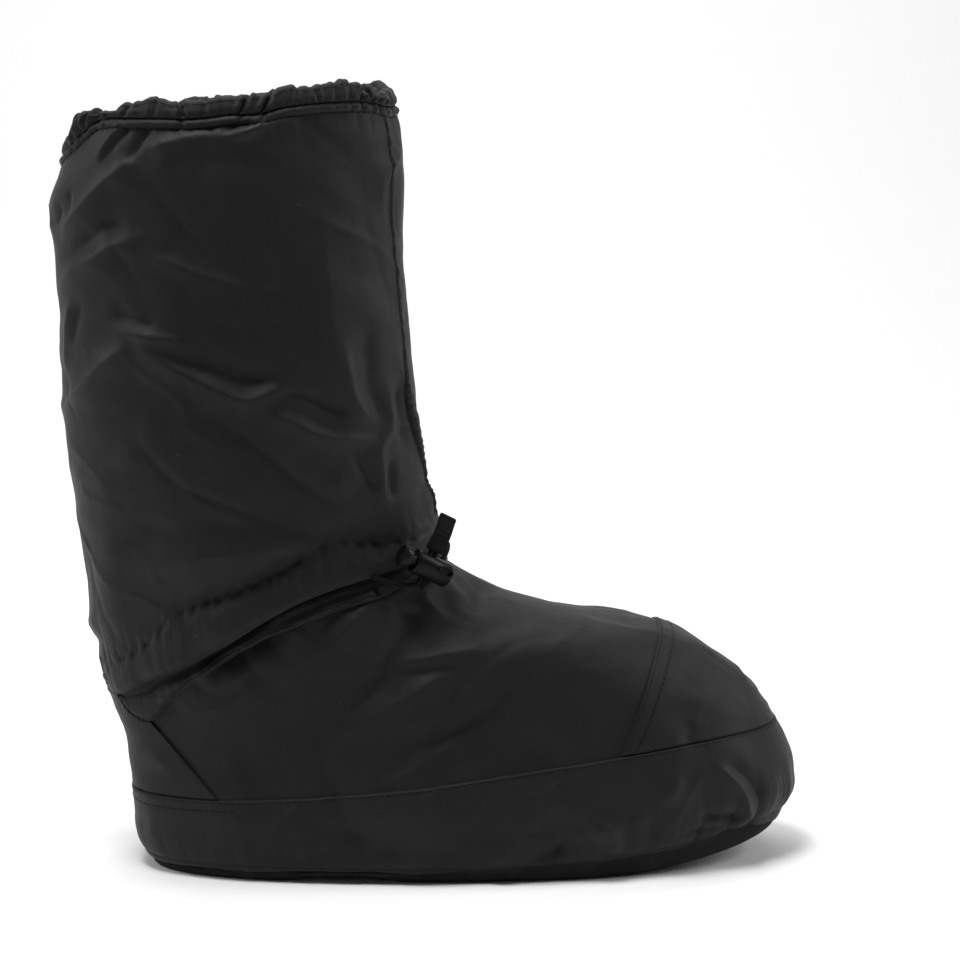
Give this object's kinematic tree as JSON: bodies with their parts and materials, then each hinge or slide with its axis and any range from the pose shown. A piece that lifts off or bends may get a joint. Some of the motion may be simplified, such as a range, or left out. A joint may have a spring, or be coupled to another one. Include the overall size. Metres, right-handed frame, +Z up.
{
  "type": "insulated fabric overshoe",
  "caption": "Tall soft fabric overshoe with gathered elastic collar, ankle drawcord with cord lock, stitched toe cap and thin rubber sole, worn over footwear.",
  "frame": {"origin": "on the floor under the sole, at the rear of the flat forefoot tread", "axes": "+X to the toe, +Y to the wearer's inner side, +Z up"},
  "size_m": [0.3765, 0.1231, 0.3923],
  "materials": {
    "nylon": "black woven nylon, coated, with a soft low sheen",
    "nylon_panel": "black woven nylon panel, soft low sheen",
    "nylon_band": "black nylon gathered or stitched down in bands",
    "rubber_sole": "matt black rubber",
    "insole_felt": "dark grey felt",
    "lock_plastic": "black moulded plastic, satin",
    "button_plastic": "black moulded plastic, satin",
    "cord_black": "black round cord",
    "tab_tape": "black woven tape"
  },
  "bodies": {
    "boot": {"outsole": "rubber_sole", "insole": "insole_felt", "upper": "nylon", "rand": "nylon_panel", "toe_cap": "nylon_panel", "heel_counter": "nylon_panel", "ankle_channel": "nylon_band", "collar_band": "nylon_band", "collar_casing": "nylon_band", "front_seam": "nylon_band", "lock_body": "lock_plastic", "cord_outer": "cord_black", "cord_inner": "cord_black", "pull_tab": "tab_tape"},
    "button": {"lock_button": "button_plastic"}
  },
  "joints": [
    {"name": "button_press", "type": "slide", "parent": "boot", "child": "button", "axis": [0.7637, 0.4589, -0.454], "range_m": [0, 0.002], "stiffness_N_per_m": 400}
  ]
}
